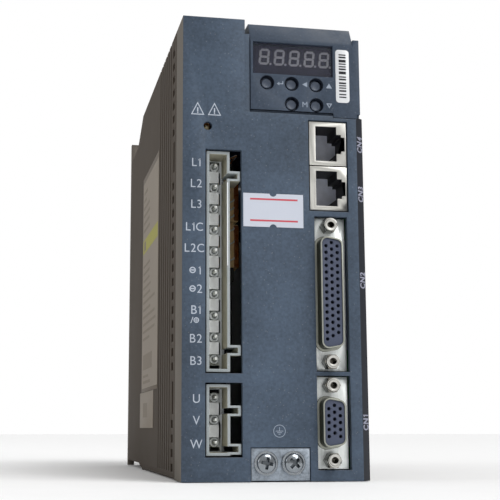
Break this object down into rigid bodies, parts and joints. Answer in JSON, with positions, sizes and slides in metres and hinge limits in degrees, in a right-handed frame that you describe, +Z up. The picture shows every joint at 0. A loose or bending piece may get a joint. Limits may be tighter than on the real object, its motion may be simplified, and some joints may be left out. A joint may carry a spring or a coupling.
{
  "type": "servo drive",
  "caption": "Book-size servo drive with operator panel, terminal headers, D-sub and network sockets, vented case, heat sink and fan.",
  "frame": {"origin": "centre of the mounting plate's rear face", "axes": "+X right seen from the front, the front faces -Y, +Z up"},
  "size_m": [0.0652, 0.1786, 0.16],
  "materials": {
    "cover_plastic": "fine-grained slate moulding",
    "case_plastic": "fine-grained taupe moulding",
    "key_plastic": "satin moulding",
    "window_acrylic": "tinted, polished",
    "led_body": "dull",
    "header_nylon": "satin nylon",
    "socket_insert": "satin",
    "insulator": "satin",
    "tin_plate": "bright tin",
    "socket_shield": "satin nickel",
    "screw_steel": "zinc plated",
    "earth_zinc": "dull zinc",
    "pin_tin": "bright tin",
    "alloy": "extruded, satin",
    "contact_gold": "gold plated",
    "board": "solder mask",
    "chip_epoxy": "epoxy",
    "capacitor_sleeve": "shrink sleeve",
    "ferrite": "sintered",
    "winding_tape": "amber polyester tape",
    "copper_wire": "enamelled copper",
    "relay_case": "moulded",
    "fuse_ceramic": "glazed ends",
    "sensor_case": "moulded",
    "module_epoxy": "moulded",
    "silicone": "soft pad",
    "sheet_film": "polyester film",
    "ribbon": "flat cable",
    "brass_standoff": "turned",
    "lamp_epoxy": "clear-red epoxy",
    "paper_label": "matt label",
    "film_label": "satin film",
    "rating_film": "satin film",
    "fan_plastic": "glass-filled",
    "guard_wire": "plated"
  },
  "bodies": {
    "chassis": {"front_cover": "cover_plastic", "case_shell": "case_plastic", "keypad_panel": "cover_plastic", "display_window": "window_acrylic", "led_display": "led_body", "display_board": "board", "key_switches": "socket_insert", "power_header": "header_nylon", "power_pins": "pin_tin", "motor_header": "header_nylon", "motor_pins": "pin_tin", "cn4_shield": "socket_shield", "cn3_shield": "socket_shield", "cn4_insert": "socket_insert", "cn3_insert": "socket_insert", "cn4_contacts": "contact_gold", "cn3_contacts": "contact_gold", "cn2_shell": "tin_plate", "cn2_insulator": "insulator", "cn2_jackscrews": "screw_steel", "cn1_shell": "tin_plate", "cn1_insulator": "insulator", "cn1_jackscrews": "screw_steel", "earth_bracket": "earth_zinc", "earth_screws": "screw_steel", "charge_lamp": "lamp_epoxy", "blank_sticker": "paper_label", "code_label": "film_label", "rating_plate": "rating_film", "side_label": "rating_film", "control_board": "board", "control_chips": "chip_epoxy", "power_board": "board", "bus_capacitors": "capacitor_sleeve", "transformer_core": "ferrite", "transformer_winding": "winding_tape", "line_choke": "copper_wire", "inrush_relay": "relay_case", "line_fuse": "fuse_ceramic", "current_sensors": "sensor_case", "power_module": "module_epoxy", "thermal_pad": "silicone", "bridge_rectifier": "module_epoxy", "insulation_sheet": "sheet_film", "link_ribbon": "ribbon", "display_ribbon": "ribbon", "board_standoffs": "brass_standoff", "board_screws": "screw_steel", "heat_sink": "alloy", "mounting_plate": "alloy", "plate_screws": "screw_steel", "fan_frame": "fan_plastic", "fan_guard": "guard_wire"},
    "key_enter": {"key_enter": "key_plastic"},
    "key_shift": {"key_shift": "key_plastic"},
    "key_up": {"key_up": "key_plastic"},
    "key_mode": {"key_mode": "key_plastic"},
    "key_down": {"key_down": "key_plastic"},
    "fan_wheel": {"fan_rotor": "fan_plastic"}
  },
  "joints": [
    {"name": "key_enter_press", "type": "slide", "parent": "chassis", "child": "key_enter", "axis": [0, 1, 0], "range_m": [0, 0.00035], "stiffness_N_per_m": 1500},
    {"name": "key_shift_press", "type": "slide", "parent": "chassis", "child": "key_shift", "axis": [0, 1, 0], "range_m": [0, 0.00035], "stiffness_N_per_m": 1500},
    {"name": "key_up_press", "type": "slide", "parent": "chassis", "child": "key_up", "axis": [0, 1, 0], "range_m": [0, 0.00035], "stiffness_N_per_m": 1500},
    {"name": "key_mode_press", "type": "slide", "parent": "chassis", "child": "key_mode", "axis": [0, 1, 0], "range_m": [0, 0.00035], "stiffness_N_per_m": 1500},
    {"name": "key_down_press", "type": "slide", "parent": "chassis", "child": "key_down", "axis": [0, 1, 0], "range_m": [0, 0.00035], "stiffness_N_per_m": 1500},
    {"name": "fan_spin", "type": "hinge", "parent": "chassis", "child": "fan_wheel", "pos_m": [0, -0.027, -0.072], "axis": [0, 0, 1], "continuous": true}
  ]
}
